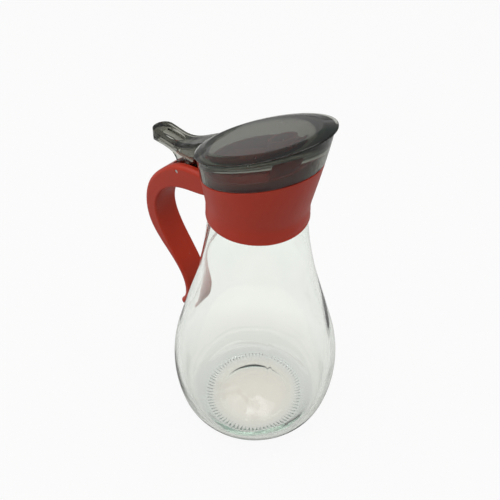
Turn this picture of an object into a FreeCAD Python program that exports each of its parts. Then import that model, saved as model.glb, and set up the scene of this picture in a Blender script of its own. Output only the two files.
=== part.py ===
# Oil bottle: a glass bulb with a screw-on red collar and handle, and a smoky lid that a thumb lever lifts.
# Millimetres. The origin is on the bottle's axis, in the plane it stands on. +Z is up, the handle is on -X
# and oil pours towards +X.
import FreeCAD, Part
import math
import os

Vec = FreeCAD.Vector

# ---------------------------------------------------------------- driving dimensions

# glass: outer profile from arcs that run into each other without a corner
BELLY_R = 45.4            # widest radius
BELLY_Z = 39.5            # height of the widest ring
BELLY_ARC = 85.0          # radius of the belly's side profile
HEEL_ARC = 26.1           # radius of the profile where the belly turns under
SHOULDER_ANGLE = 16.5     # lean of the straight shoulder from the axis, degrees
NECK_ANGLE = 4.9          # lean of the glass where it goes under the collar, degrees
BASE_RING_R = 26.0        # outer radius of the flat ring it stands on
BASE_RING_WIDTH = 4.0
BASE_RING_EDGE = 1.2      # height of the chamfer between the ring and the heel
BASE_RING_SET_IN = 0.5    # width of that chamfer under the ring
PUSH_UP = 4.5             # rise of the hollow under the base
GLASS_WALL = 2.9          # belly and shoulder; the neck grows thicker
FLOOR_THICKNESS = 5.0     # glass over the push-up, on the axis
FLOOR_CROWN = 2.2         # rise of the inner floor from its edge to the axis
FINISH_R = 21.3           # neck finish, between the thread's turns
FINISH_WALL = 3.3
FINISH_HEIGHT = 14.5      # from the collar's lower edge to the glass rim
NECK_STEP = 2.4           # how far the neck stands out from the finish, at the collar's lower edge
NECK_LEDGE = 0.9          # height of that step
BORE_RISE = 4.0           # where the bore turns straight, above the collar's lower edge
RIM_EDGE = 1.0            # rounding of the glass rim

# screw thread between glass and collar
THREAD_DEPTH = 1.05
THREAD_PITCH = 5.0
THREAD_WIDTH = 2.0        # at the ridge's foot
THREAD_CREST = 0.9        # at its top
THREAD_TURNS = 1.25
THREAD_START = 3.4        # first turn's height above the collar's lower edge
THREAD_CLEARANCE = 0.4    # between each ridge and the wall across from it
THREAD_SUNK = 0.4         # how deep a ridge is rooted in its own wall

# collar
COLLAR_Z = 141.9          # lower edge
COLLAR_SKIN = 2.1         # wall outside the thread bore, at the lower edge
WAIST_SKIN = 1.53         # the same where foot and flare would cross
WAIST_RISE = 8.0          # height of that crossing above the lower edge
WAIST_BLEND = 3.0         # how softly foot and flare run into each other
FLARE_SLOPE = 0.141       # growth of the half width with height above the waist
FLARE_BEND = 0.00143      # how fast that growth fades, per mm
FLARE_STRETCH = 0.0044    # extra growth along X, per mm of height: round at the waist, oval at the lid
FLARE_LEAN = 0.0005       # drift of the ovals' centres towards the spout, per square mm of height
COLLAR_WALL = 2.0
COLLAR_EDGE = 0.6         # rounding of the lower edge
SEAM_EDGE = 0.4           # rounding of both edges at the seam
NECK_LAP = 1.6            # how far the collar's mouth is widened to lap over the glass
NECK_LAP_CLEARANCE = 0.3
DECK_THICKNESS = 2.0
GASKET_THICKNESS = 1.2
GASKET_IN = 0.4           # how far the gasket stays back from the mouth's bore
GASKET_OUT = 0.2          # and from the finish's outside
SEAM_RISE = 26.7          # seam between collar and lid, on the axis, above the collar's lower edge
SEAM_TILT = 17.82         # degrees, up towards +X
SEAM_GAP = 0.3

# pour insert
INSERT_CLEARANCE = 0.35
INSERT_WALL = 1.6
INSERT_FLOOR = 1.6
INSERT_LIP = 3.0          # rise of its rim above the seam
PLUG_WALL = 1.4
PLUG_DEPTH = 9.0
SPOUT_X = 13.8            # pour tube's axis
SPOUT_R = 6.2
SPOUT_BORE_R = 4.6
DRAIN_X = -13.0
DRAIN_R = 2.6
SPOUT_GAP = 0.4           # between the tube's mouth and the lid

# lid
LID_RISE = 41.0           # lid plane on the axis, above the collar's lower edge
LID_TILT = 23.46
LID_WALL = 2.0
LID_TOP = 1.6             # flat top face above the lid plane
LID_PLATE = 2.6
LID_COVE = 4.6            # inner rounding between plate and skirt
BEAD_PROUD = 1.05         # how far the plate's rim stands out from the skirt
BEAD_BACK = 0.6           # how much further it does so at the back than at the front, halved
BEAD_DROP = 0.9           # rim's lower edge below the lid plane
BEAD_TOP = 0.1            # rim's upper edge above the lid plane
BEAD_ROUND = 0.42
BEVEL_ENDS = 5.6          # slope from the rim up to the flat top, at front and back
BEVEL_SIDES = 6.2         # and at the sides
BEVEL_ROUND = 4.0         # rounding of the crease between slope and flat top

# hinge
HINGE_REACH = 23.72       # from the collar's waist back to the pin
PIN_RISE = 3.6            # pin above the collar's lower edge
PIN_R = 1.0
PIN_RECESS = 0.2          # how far each end of the pin lies inside the handle's side
PIN_RUNNING = 0.05        # radial clearance in the lid's cheeks
PIN_FIT = 0.02            # radial clearance in the handle's walls
SLOT_WIDTH = 7.8
SLOT_BACK = 6.4           # from the pin to the slot's blind end
SLOT_FRONT_SKIN = 1.6     # handle left between the slot and the collar
SLOT_FLOOR = 4.6          # below the pin
SLOT_SHALLOW = 2.2        # below the pin, where the floor has risen in front of the leg
SLOT_RAMP = (5.0, 9.0)    # that rise, measured forward from the pin
CHEEK_SIDE = 0.3          # side clearance of the leg in the slot
CHEEK = 1.7               # thickness of each cheek
BOSS_R = 3.4

# thumb lever, its side profile measured from the pin
LEVER_WIDTH = 11.6
LEVER_OVERHANG = 0.8      # the lever's plate past its cheeks, on each side
LEVER_PLATE = 2.6
LEVER_TIP = -21.2
LEVER_TOP = [(-22.0, 15.3), (-10.4, 14.9), (-3.2, 14.6), (5.4, 17.2), (14.0, 22.0), (17.6, 24.0),
             (20.5, 25.2)]
LEVER_UNDER = [(-22.0, 10.6), (-20.6, 9.2), (-18.0, 8.6), (-14.0, 8.6), (-8.6, 7.9), (-5.6, 6.3),
               (-4.0, 4.5), (-3.4, 2.4)]
LEVER_FRONT = [(15.6, 21.5), (9.6, 8.0)]
KEEL_TOP = 11.0           # the cheeks narrow from the lever's width at this height
KEEL_FOOT = 7.4           # to the slot's width at this one
TIP_WALL = 3.0
FRONT_WEB = 1.8           # wall that closes the leg's hollow towards the lid
RECESS_X = -8.3           # centre of the thumb recess
RECESS_LENGTH = 15.0
RECESS_WIDTH = 7.2
RECESS_DEPTH = 1.4

# spring round the pin
WIRE = 0.6
COIL_CLEARANCE = 0.2      # between the pin and the coil
COIL_ROOM = 0.3           # between the coil and the leg's front wall
COIL_GAP = 0.12           # between one turn and the next
COIL_TURNS = 4
TAIL_GAP = 0.1            # between each tail and what it presses on, at rest
TAIL_BEND = 6.0           # height of the upper tail's bend above the pin
TAIL_REACH = 5.0          # how far behind the pin the upper tail ends

# handle: side profile in the plane of the hinge. Each point is its distance out from the slanted line
# that runs from the belly's widest ring up to the waist, and its rise above the collar's lower edge.
HANDLE_WIDTH = 15.0
HANDLE_ROUND_OUT = 2.4
HANDLE_ROUND_IN = 0.9
HANDLE_OUT = [(-1.4, 9.7), (13.0, 9.5), (24.0, 6.9), (35.3, -1.9), (42.9, -13.3), (44.8, -27.1),
              (40.2, -41.9), (30.6, -52.4), (17.3, -63.4), (10.1, -72.4), (7.5, -79.9), (9.4, -90.1)]
HANDLE_IN = [(6.2, -92.1), (3.5, -85.4), (3.6, -78.4), (7.8, -69.4), (19.3, -55.4), (30.5, -42.0),
             (35.7, -30.9), (34.7, -19.5), (26.4, -9.5), (13.4, -4.3), (3.2, -1.8), (-2.9, 1.5)]

BIG = 400.0               # longer than the whole object: side of the blocks that cut and are cut
LOFT_STEPS = 16

# ---------------------------------------------------------------- radii and heights that follow

MOUTH_R = FINISH_R - FINISH_WALL
NECK_R = FINISH_R + NECK_STEP
BORE_R = FINISH_R + THREAD_DEPTH + THREAD_CLEARANCE
COLLAR_R = BORE_R + COLLAR_SKIN
WAIST_R = BORE_R + WAIST_SKIN
WAIST_Z = COLLAR_Z + WAIST_RISE
PIN_X = -WAIST_R - HINGE_REACH
PIN_Z = COLLAR_Z + PIN_RISE
RIM_Z = COLLAR_Z + FINISH_HEIGHT
DECK_Z = RIM_Z + GASKET_THICKNESS
INSERT_Z = DECK_Z + DECK_THICKNESS
SEAM_Z = COLLAR_Z + SEAM_RISE
LID_Z = COLLAR_Z + LID_RISE
SEAM_SLOPE = math.tan(math.radians(SEAM_TILT))
LID_SLOPE = math.tan(math.radians(LID_TILT))


# ---------------------------------------------------------------- helpers


def polyline(points):
    return [Part.LineSegment(Vec(*a), Vec(*b)).toShape() for a, b in zip(points[:-1], points[1:])]


def arc(a, middle, b):
    return Part.Arc(Vec(*a), Vec(*middle), Vec(*b)).toShape()


def arc_about(centre, radius, start, end):
    """Arc in the XZ plane from angle start to end, in radians from +X towards +Z."""
    points = [(centre[0] + radius * math.cos(t), 0, centre[1] + radius * math.sin(t))
              for t in (start, (start + end) / 2, end)]
    return arc(*points)


def cap_arc(radius, z_edge, z_crown):
    """Profile of a shallow spherical cap about the Z axis, from its edge to its crown."""
    rise = z_crown - z_edge
    sphere = (radius ** 2 + rise ** 2) / (2 * rise)
    half = math.asin(radius / sphere) / 2
    middle = (sphere * math.sin(half), 0, z_crown - sphere + sphere * math.cos(half))
    return arc((radius, 0, z_edge), middle, (0, 0, z_crown))


def spline(points):
    curve = Part.BSplineCurve()
    curve.interpolate([Vec(*p) for p in points])
    return curve.toShape()


def turned(edges):
    """Solid of revolution about Z from a closed profile in the XZ plane."""
    face = Part.Face(Part.Wire(Part.__sortEdges__(edges)))
    solid = face.revolve(Vec(0, 0, 0), Vec(0, 0, 1), 360)
    return solid if solid.Volume > 0 else solid.reversed()


def turned_polygon(points):
    return turned(polyline([(r, 0, z) for r, z in points + points[:1]]))


def slab(edges, width):
    """The closed profile in the XZ plane, given a width that is centred on Y = 0."""
    face = Part.Face(Part.Wire(Part.__sortEdges__(edges)))
    face.translate(Vec(0, -width / 2, 0))
    return face.extrude(Vec(0, width, 0))


def ellipse(z, along, across, x=0.0):
    """Closed wire round the Z axis with half lengths along X and across Y."""
    if along - across > 1e-6:
        edge = Part.Ellipse(Vec(x, 0, z), along, across).toShape()
    else:
        edge = Part.Circle(Vec(x, 0, z), Vec(0, 0, 1), along).toShape()
    return Part.Wire([edge])


def below(solid, height, slope):
    """What is left of the solid under the plane z = height + slope * x."""
    block = Part.makeBox(BIG, BIG, BIG, Vec(-BIG / 2, -BIG / 2, -BIG))
    block.rotate(Vec(0, 0, 0), Vec(0, 1, 0), -math.degrees(math.atan(slope)))
    block.translate(Vec(0, 0, height))
    return solid.common(block)


def above(solid, height, slope):
    block = Part.makeBox(BIG, BIG, BIG, Vec(-BIG / 2, -BIG / 2, 0))
    block.rotate(Vec(0, 0, 0), Vec(0, 1, 0), -math.degrees(math.atan(slope)))
    block.translate(Vec(0, 0, height))
    return solid.common(block)


def cylinder_y(x, z, radius, width, middle=0.0):
    return Part.makeCylinder(radius, width, Vec(x, middle - width / 2, z), Vec(0, 1, 0))


def from_pin(points):
    return [(PIN_X + x, 0, PIN_Z + z) for x, z in points]


def flare_half_width(z):
    """Two straight slopes that run softly into each other at the waist, the upper one bending inwards."""
    t = z - WAIST_Z
    foot_slope = (COLLAR_R - WAIST_R) / WAIST_RISE
    slopes = (FLARE_SLOPE - foot_slope) / 2 * t + (FLARE_SLOPE + foot_slope) / 2 * math.hypot(t, WAIST_BLEND)
    return WAIST_R + slopes - FLARE_BEND * max(t, 0.0) ** 2


def flare_half_length(z):
    return flare_half_width(z) * (1 + FLARE_STRETCH * max(z - WAIST_Z, 0.0))


def flare_centre(z):
    return FLARE_LEAN * max(z - WAIST_Z, 0.0) ** 2


def flare(z_low, z_high, inset=0.0):
    """Solid inside the collar's and lid's common outer surface, or a copy of it set in by inset."""
    heights = [z_low + (z_high - z_low) * i / LOFT_STEPS for i in range(LOFT_STEPS + 1)]
    wires = [ellipse(z, flare_half_length(z) - inset, flare_half_width(z) - inset, flare_centre(z))
             for z in heights]
    return Part.makeLoft(wires, True, False)


def flare_reach(height, slope, side):
    """X where the outer surface meets the plane z = height + slope * x, in front (side 1) or behind (-1)."""
    x = 0.0
    for _ in range(60):
        z = height + slope * x
        x = flare_centre(z) + side * flare_half_length(z)
    return x


def thread(root, crest, z_start, inward=False):
    """Helical ridge between two radii, rooted a little in the wall it stands on."""
    base = root + THREAD_SUNK if inward else root - THREAD_SUNK
    helix = Part.makeHelix(THREAD_PITCH, THREAD_PITCH * THREAD_TURNS, root)
    half, tip = THREAD_WIDTH / 2, THREAD_CREST / 2
    section = Part.Wire(polyline([(base, 0, -half), (crest, 0, -tip), (crest, 0, tip), (base, 0, half),
                                  (base, 0, -half)]))
    ridge = Part.Wire(helix.Edges).makePipeShell([section], True, True)
    ridge.translate(Vec(0, 0, z_start))
    return ridge


# ---------------------------------------------------------------- glass


def belly_geometry():
    """Centres of the belly and heel arcs, and the angle where they meet."""
    belly = (BELLY_R - BELLY_ARC, BELLY_Z)
    ring = (BASE_RING_R, 0.0)
    far = BELLY_ARC - HEEL_ARC
    dx, dz = ring[0] - belly[0], ring[1] - belly[1]
    gap = math.hypot(dx, dz)
    along = (far ** 2 - HEEL_ARC ** 2 + gap ** 2) / (2 * gap)
    off = math.sqrt(far ** 2 - along ** 2)
    heel = (belly[0] + (along * dx - off * dz) / gap, belly[1] + (along * dz + off * dx) / gap)
    meet = math.atan2(heel[1] - belly[1], heel[0] - belly[0])
    return belly, heel, meet


def shoulder_geometry():
    """Ends of the straight shoulder, and the neck arc's centre and radius."""
    belly = (BELLY_R - BELLY_ARC, BELLY_Z)
    lean, top_lean = math.radians(SHOULDER_ANGLE), math.radians(NECK_ANGLE)
    start = (belly[0] + BELLY_ARC * math.cos(lean), belly[1] + BELLY_ARC * math.sin(lean))
    d1 = (-math.sin(lean), math.cos(lean))
    d2 = (-math.sin(top_lean), math.cos(top_lean))
    ex, ez = NECK_R - start[0], COLLAR_Z - start[1]
    tangent = (ex * d1[1] - ez * d1[0]) / (d2[0] * d1[1] - d2[1] * d1[0])
    corner = (NECK_R - tangent * d2[0], COLLAR_Z - tangent * d2[1])
    end = (corner[0] - tangent * d1[0], corner[1] - tangent * d1[1])
    radius = tangent / math.tan((lean - top_lean) / 2)
    centre = (end[0] + radius * math.cos(lean), end[1] + radius * math.sin(lean))
    return start, end, centre, radius


def shoulder_direction():
    """Unit vectors across and along the straight shoulder: outwards, and up towards the neck."""
    lean = math.radians(SHOULDER_ANGLE)
    return (math.cos(lean), math.sin(lean)), (-math.sin(lean), math.cos(lean))


def body_side(inset):
    """Belly and shoulder profile edges, from the heel arc's end up to the neck, set in by inset."""
    belly, _, meet = belly_geometry()
    start, end, _, _ = shoulder_geometry()
    out, _ = shoulder_direction()
    ends = [(p[0] - inset * out[0], 0, p[1] - inset * out[1]) for p in (start, end)]
    return [arc_about(belly, BELLY_ARC - inset, meet, math.radians(SHOULDER_ANGLE)), *polyline(ends)], ends[1]


def inner_neck(start):
    """Curve that leaves the inner shoulder along its own line and ends at the bore, so the wall thickens."""
    _, up = shoulder_direction()
    end = (MOUTH_R, 0, COLLAR_Z + BORE_RISE)
    half = math.hypot(end[0] - start[0], end[2] - start[2]) / 2
    curve = Part.BezierCurve()
    curve.setPoles([Vec(*start), Vec(start[0] + half * up[0], 0, start[2] + half * up[1]), Vec(*end)])
    return curve.toShape()


def make_glass():
    _, heel, meet = belly_geometry()
    _, _, neck_centre, neck_arc = shoulder_geometry()
    outer, _ = body_side(0.0)
    inner, inner_end = body_side(GLASS_WALL)
    neck = arc_about(neck_centre, neck_arc, math.pi + math.radians(SHOULDER_ANGLE),
                     math.pi + math.radians(NECK_ANGLE))
    # heel: outer arc down to the chamfer, inner arc down to the floor
    heel_end = math.asin((BASE_RING_EDGE - heel[1]) / HEEL_ARC)
    heel_r = heel[0] + HEEL_ARC * math.cos(heel_end)
    inner_heel = HEEL_ARC - GLASS_WALL
    crown = PUSH_UP + FLOOR_THICKNESS
    floor_z = crown - FLOOR_CROWN
    floor_end = math.asin((floor_z - heel[1]) / inner_heel)
    floor_r = heel[0] + inner_heel * math.cos(floor_end)
    ring_in = BASE_RING_R - BASE_RING_WIDTH
    rim_in = FINISH_R - RIM_EDGE
    edges = [
        cap_arc(ring_in, 0.0, PUSH_UP),
        *polyline([(ring_in, 0, 0), (BASE_RING_R - BASE_RING_SET_IN, 0, 0), (heel_r, 0, BASE_RING_EDGE)]),
        arc_about(heel, HEEL_ARC, heel_end, meet),
        *outer,
        neck,
        *polyline([
            (NECK_R, 0, COLLAR_Z),
            (FINISH_R, 0, COLLAR_Z + NECK_LEDGE),
            (FINISH_R, 0, RIM_Z - RIM_EDGE),
        ]),
        arc_about((rim_in, RIM_Z - RIM_EDGE), RIM_EDGE, 0, math.pi / 2),
        *polyline([(rim_in, 0, RIM_Z), (MOUTH_R, 0, RIM_Z), (MOUTH_R, 0, COLLAR_Z + BORE_RISE)]),
        inner_neck(inner_end),
        *inner,
        arc_about(heel, inner_heel, floor_end, meet),
        cap_arc(floor_r, floor_z, crown),
        *polyline([(0, 0, crown), (0, 0, PUSH_UP)]),
    ]
    ridge = thread(FINISH_R, FINISH_R + THREAD_DEPTH, COLLAR_Z + THREAD_START)
    return turned(edges).fuse(ridge).removeSplitter()


def make_gasket():
    inside, outside = MOUTH_R + GASKET_IN, FINISH_R - GASKET_OUT
    return turned_polygon([(inside, RIM_Z), (outside, RIM_Z), (outside, DECK_Z), (inside, DECK_Z)])


# ---------------------------------------------------------------- collar with handle


def beside(points):
    """Points of the handle's profile, from their distance out and their rise, as given above."""
    lean = (BELLY_R - WAIST_R) / (WAIST_Z - BELLY_Z)
    return [(-(WAIST_R + lean * (WAIST_RISE - rise) + out), 0, COLLAR_Z + rise) for out, rise in points]


def long_edges(solid, first, last):
    return sorted(solid.Edges, key=lambda e: -e.Length)[first:last]


def handle_blank():
    """The looped strap before the slot is cut, with rounded long edges."""
    outer, inner = beside(HANDLE_OUT), beside(HANDLE_IN)
    strap = slab([spline(outer), spline(inner), *polyline([outer[-1], inner[0]]),
                  *polyline([inner[-1], outer[0]])], HANDLE_WIDTH)
    # the outer pair of edges is the longest, the inner pair comes next
    strap = strap.makeFillet(HANDLE_ROUND_IN, long_edges(strap, 2, 4))
    return strap.makeFillet(HANDLE_ROUND_OUT, long_edges(strap, 0, 2))


def rim_edges(solid, height, slope):
    """Edges that lie in the plane z = height + slope * x."""
    return [e for e in solid.Edges
            if all(abs(p.z - height - slope * p.x) < 1e-4 for p in e.discretize(9))]


def collar_blank(top):
    """Solid inside the collar's outer surface, with its rounded foot."""
    foot_z = COLLAR_Z + COLLAR_EDGE
    foot_r = flare_half_width(foot_z)
    flat_r = foot_r - COLLAR_EDGE
    foot = turned([
        *polyline([(foot_r, 0, foot_z), (0, 0, foot_z), (0, 0, COLLAR_Z), (flat_r, 0, COLLAR_Z)]),
        arc_about((flat_r, foot_z), COLLAR_EDGE, -math.pi / 2, 0),
    ])
    shell = below(flare(foot_z, top), SEAM_Z, SEAM_SLOPE)
    return shell.makeFillet(SEAM_EDGE, rim_edges(shell, SEAM_Z, SEAM_SLOPE)).fuse(foot)


def make_collar():
    top = SEAM_Z + SEAM_SLOPE * BELLY_R
    outside = collar_blank(top).fuse(handle_blank())
    # thread bore under the deck, opening through the deck, flared cup above it
    bore = turned_polygon([(0, COLLAR_Z), (BORE_R, COLLAR_Z), (BORE_R, DECK_Z), (0, DECK_Z)])
    lap_r = NECK_R + NECK_LAP_CLEARANCE
    lap_top = COLLAR_Z + NECK_LAP
    lap = turned_polygon([(0, COLLAR_Z), (lap_r, COLLAR_Z), (lap_r, lap_top), (0, lap_top)])
    opening = turned_polygon([(0, DECK_Z), (MOUTH_R, DECK_Z), (MOUTH_R, INSERT_Z), (0, INSERT_Z)])
    cup = flare(INSERT_Z, top, COLLAR_WALL)
    slot_end = -WAIST_R - SLOT_FRONT_SKIN
    slot = slab(polyline([
        (PIN_X - SLOT_BACK, 0, top),
        (PIN_X - SLOT_BACK, 0, PIN_Z - SLOT_FLOOR),
        (PIN_X + SLOT_RAMP[0], 0, PIN_Z - SLOT_FLOOR),
        (PIN_X + SLOT_RAMP[1], 0, PIN_Z - SLOT_SHALLOW),
        (slot_end, 0, PIN_Z - SLOT_SHALLOW),
        (slot_end, 0, top),
        (PIN_X - SLOT_BACK, 0, top),
    ]), SLOT_WIDTH)
    pin_hole = cylinder_y(PIN_X, PIN_Z, PIN_R + PIN_FIT, 2 * HANDLE_WIDTH)
    body = outside.cut(bore).cut(lap).cut(opening).cut(cup).cut(slot).cut(pin_hole)
    ridge = thread(BORE_R, BORE_R - THREAD_DEPTH, COLLAR_Z + THREAD_START + THREAD_PITCH / 2, inward=True)
    return body.fuse(ridge)


# ---------------------------------------------------------------- pour insert


def oval_block(along, across, z):
    face = Part.Face(ellipse(z, along, across, flare_centre(z)))
    return face.extrude(Vec(0, 0, BIG))


def make_insert():
    inset = COLLAR_WALL + INSERT_CLEARANCE
    along = flare_half_length(INSERT_Z) - inset
    across = flare_half_width(INSERT_Z) - inset
    cup = below(oval_block(along, across, INSERT_Z), SEAM_Z + INSERT_LIP, SEAM_SLOPE)
    hollow = oval_block(along - INSERT_WALL, across - INSERT_WALL, INSERT_Z + INSERT_FLOOR)
    plug_r = MOUTH_R - INSERT_CLEARANCE
    plug = Part.makeCylinder(plug_r, PLUG_DEPTH, Vec(0, 0, INSERT_Z - PLUG_DEPTH))
    plug_hollow = Part.makeCylinder(plug_r - PLUG_WALL, PLUG_DEPTH, Vec(0, 0, INSERT_Z - PLUG_DEPTH))
    mouth = LID_Z + (LID_TOP - LID_PLATE - SPOUT_GAP) / math.cos(math.radians(LID_TILT))
    tube = below(Part.makeCylinder(SPOUT_R, BIG, Vec(SPOUT_X, 0, INSERT_Z)), mouth, LID_SLOPE)
    tube_bore = Part.makeCylinder(SPOUT_BORE_R, BIG, Vec(SPOUT_X, 0, INSERT_Z - BIG / 2))
    drain = Part.makeCylinder(DRAIN_R, 2 * INSERT_FLOOR, Vec(DRAIN_X, 0, INSERT_Z - INSERT_FLOOR / 2))
    shell = cup.cut(hollow).fuse(plug.cut(plug_hollow)).fuse(tube)
    return shell.cut(tube_bore).cut(drain).removeSplitter()


# ---------------------------------------------------------------- lid with lever


def lid_plate(half_length, half_width):
    """Thin oval rim, a slope all round and the flat top, about the origin and level."""
    rings = [(-BEAD_DROP, 0.0, 0.0), (BEAD_TOP, 0.0, 0.0), (LID_TOP, BEVEL_ENDS, BEVEL_SIDES)]
    plate = Part.makeLoft([ellipse(z, half_length - ends, half_width - sides) for z, ends, sides in rings],
                          True, True)
    plate = plate.makeFillet(BEVEL_ROUND, rim_edges(plate, LID_TOP, 0.0))
    return plate.makeFillet(BEAD_ROUND, rim_edges(plate, -BEAD_DROP, 0.0) + rim_edges(plate, BEAD_TOP, 0.0))


def lid_shell():
    """Slanted plate on the flared skirt, and the hollow inside them."""
    bottom = SEAM_Z + SEAM_GAP / math.cos(math.radians(SEAM_TILT))
    lowest = SEAM_Z - SEAM_SLOPE * BELLY_R
    top = LID_Z + LID_SLOPE * BELLY_R
    tilt = math.radians(LID_TILT)
    skirt = above(below(flare(lowest, top), LID_Z, LID_SLOPE), bottom, SEAM_SLOPE)
    skirt = skirt.makeFillet(SEAM_EDGE, rim_edges(skirt, bottom, SEAM_SLOPE))
    front, back = flare_reach(LID_Z, LID_SLOPE, 1), flare_reach(LID_Z, LID_SLOPE, -1)
    middle = (front + back) / 2 - BEAD_BACK
    height = LID_Z + LID_SLOPE * middle
    plate = lid_plate((front - back) / 2 / math.cos(tilt) + BEAD_PROUD, flare_half_width(height) + BEAD_PROUD)
    plate.rotate(Vec(0, 0, 0), Vec(0, 1, 0), -LID_TILT)
    plate.translate(Vec(middle, 0, height))
    under = LID_Z + (LID_TOP - LID_PLATE) / math.cos(tilt)
    cavity = below(flare(lowest - SEAM_GAP, top, LID_WALL), under, LID_SLOPE)
    cavity = cavity.makeFillet(LID_COVE, rim_edges(cavity, under, LID_SLOPE))
    return skirt.fuse(plate), cavity


def lever_solids():
    """Outer shape of lever and leg, and what is cut out between the cheeks."""
    top_curve = from_pin(LEVER_TOP)
    under_curve = from_pin(LEVER_UNDER)
    front = from_pin(LEVER_FRONT)
    plate_under = [(x, y, z - LEVER_PLATE) for x, y, z in top_curve]
    plate = slab([
        spline(top_curve),
        spline(plate_under),
        *polyline([top_curve[0], plate_under[0]]),
        *polyline([top_curve[-1], plate_under[-1]]),
    ], LEVER_WIDTH)
    # side profile of the cheeks: under the lever, down to the boss, up the front
    last = front[-1]
    boss_front = (PIN_X + BOSS_R, 0, PIN_Z)
    cheeks = slab([
        spline(top_curve),
        *polyline([top_curve[0], under_curve[0]]),
        spline(under_curve),
        *polyline([under_curve[-1], (PIN_X, 0, PIN_Z), boss_front, last, front[0], top_curve[-1]]),
    ], LEVER_WIDTH)
    boss = cylinder_y(PIN_X, PIN_Z, BOSS_R, LEVER_WIDTH)
    foot = SLOT_WIDTH / 2 - CHEEK_SIDE
    wide = LEVER_WIDTH / 2 - LEVER_OVERHANG
    keel_points = [(-foot, -2 * BOSS_R), (-foot, KEEL_FOOT), (-wide, KEEL_TOP), (-wide, BIG),
                   (wide, BIG), (wide, KEEL_TOP), (foot, KEEL_FOOT), (foot, -2 * BOSS_R)]
    section = polyline([(PIN_X - BIG / 2, y, PIN_Z + z) for y, z in keel_points + keel_points[:1]])
    keel = Part.Face(Part.Wire(section)).extrude(Vec(BIG, 0, 0))
    blank = plate.fuse(cheeks.fuse(boss).common(keel))
    # plan outline with a round tip
    tip_r = LEVER_WIDTH / 2
    tip_x = PIN_X + LEVER_TIP + tip_r
    plan = Part.makeCylinder(tip_r, BIG, Vec(tip_x, 0, 0)).fuse(
        Part.makeBox(BIG, LEVER_WIDTH, BIG, Vec(tip_x, -tip_r, 0)))
    blank = blank.common(plan)
    # hollow between the cheeks, open below, with a wall at the tip and one in front
    inside = foot - CHEEK
    depth = PIN_Z - 3 * BOSS_R
    coil_front = PIN_X + PIN_R + COIL_CLEARANCE + WIRE + COIL_ROOM
    tip_inside = PIN_X + LEVER_TIP + TIP_WALL
    outline = polyline([
        (tip_inside, 0, depth),
        (tip_inside, 0, PIN_Z + LEVER_UNDER[0][1] + TIP_WALL),
        (coil_front, 0, PIN_Z + LEVER_TOP[2][1] + TIP_WALL),
        (front[0][0] - FRONT_WEB, 0, front[0][2]),
        (last[0] - FRONT_WEB, 0, last[2]),
        (coil_front, 0, PIN_Z),
        (coil_front, 0, depth),
        (tip_inside, 0, depth),
    ])
    under_plate = slab([
        spline(plate_under),
        *polyline([plate_under[0], (plate_under[0][0], 0, depth), (plate_under[-1][0], 0, depth),
                   plate_under[-1]]),
    ], 2 * inside)
    return blank.removeSplitter(), slab(outline, 2 * inside).common(under_plate)


def recess():
    """Shallow oval dish in the lever's top."""
    x, z = PIN_X + RECESS_X, PIN_Z + LEVER_TOP[1][1]
    oval = Part.Face(ellipse(z - RECESS_DEPTH, RECESS_LENGTH / 2, RECESS_WIDTH / 2, x))
    return oval.extrude(Vec(0, 0, BIG))


def make_lid():
    shell, cavity = lid_shell()
    blank, hollow = lever_solids()
    lever = blank.cut(hollow)
    lever = lever.cut(flare(SEAM_Z - SEAM_SLOPE * BELLY_R, LID_Z + LID_SLOPE * BELLY_R, LID_WALL / 2))
    body = shell.fuse(lever).cut(cavity).cut(recess())
    pin_hole = cylinder_y(PIN_X, PIN_Z, PIN_R + PIN_RUNNING, HANDLE_WIDTH)
    return body.cut(pin_hole)


# ---------------------------------------------------------------- pin and spring


def make_pin():
    return cylinder_y(PIN_X, PIN_Z, PIN_R, HANDLE_WIDTH - 2 * PIN_RECESS)


def wire_run(points):
    """Round wire along straight runs, with a ball at each bend and end."""
    ends = [Vec(*p) for p in points]
    balls = [Part.makeSphere(WIRE / 2, p) for p in ends]
    rods = [Part.makeCylinder(WIRE / 2, (b - a).Length, a, b - a) for a, b in zip(ends[:-1], ends[1:])]
    return balls[0].multiFuse(balls[1:] + rods)


def make_spring():
    """Coil round the pin; one tail presses on the slot's floor, the other lifts the lever from below."""
    radius = PIN_R + COIL_CLEARANCE + WIRE / 2
    pitch = WIRE + COIL_GAP
    length = COIL_TURNS * pitch
    helix = Part.makeHelix(pitch, length, radius)
    section = Part.Wire([Part.Circle(Vec(radius, 0, 0), Vec(0, 1, 0), WIRE / 2).toShape()])
    coil = Part.Wire(helix.Edges).makePipeShell([section], True, True)
    coil.rotate(Vec(0, 0, 0), Vec(1, 0, 0), -90)
    coil.translate(Vec(PIN_X, -length / 2, PIN_Z))
    start = (PIN_X + radius, -length / 2, PIN_Z)
    end = (PIN_X + radius, length / 2, PIN_Z)
    floor = PIN_Z - SLOT_FLOOR + WIRE / 2 + TAIL_GAP
    lift = PIN_Z + LEVER_TOP[2][1] - LEVER_PLATE - WIRE / 2 - TAIL_GAP
    bend = (start[0], start[1], PIN_Z + TAIL_BEND)
    lever_tail = wire_run([start, bend, (PIN_X - TAIL_REACH, start[1], lift)])
    floor_tail = wire_run([end, (end[0], end[1], floor), (PIN_X - SLOT_BACK + 2 * WIRE, end[1], floor)])
    return coil.fuse(floor_tail).fuse(lever_tail)


# ---------------------------------------------------------------- write the pieces

os.makedirs("parts", exist_ok=True)
PIECES = {
    "glass_bottle": make_glass,
    "neck_gasket": make_gasket,
    "collar_handle": make_collar,
    "pour_insert": make_insert,
    "lid": make_lid,
    "hinge_pin": make_pin,
    "torsion_spring": make_spring,
}
for name, make in PIECES.items():
    shape = make()
    print(name, len(shape.Solids), "solid", round(shape.Volume / 1000, 2), "cm3", shape.isValid())
    shape.exportStep(os.path.join("parts", name + ".step"))
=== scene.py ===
"""Looks of a glass oil bottle with a red collar and handle and a smoky flip lid, built on its CAD frame."""

import math

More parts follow.
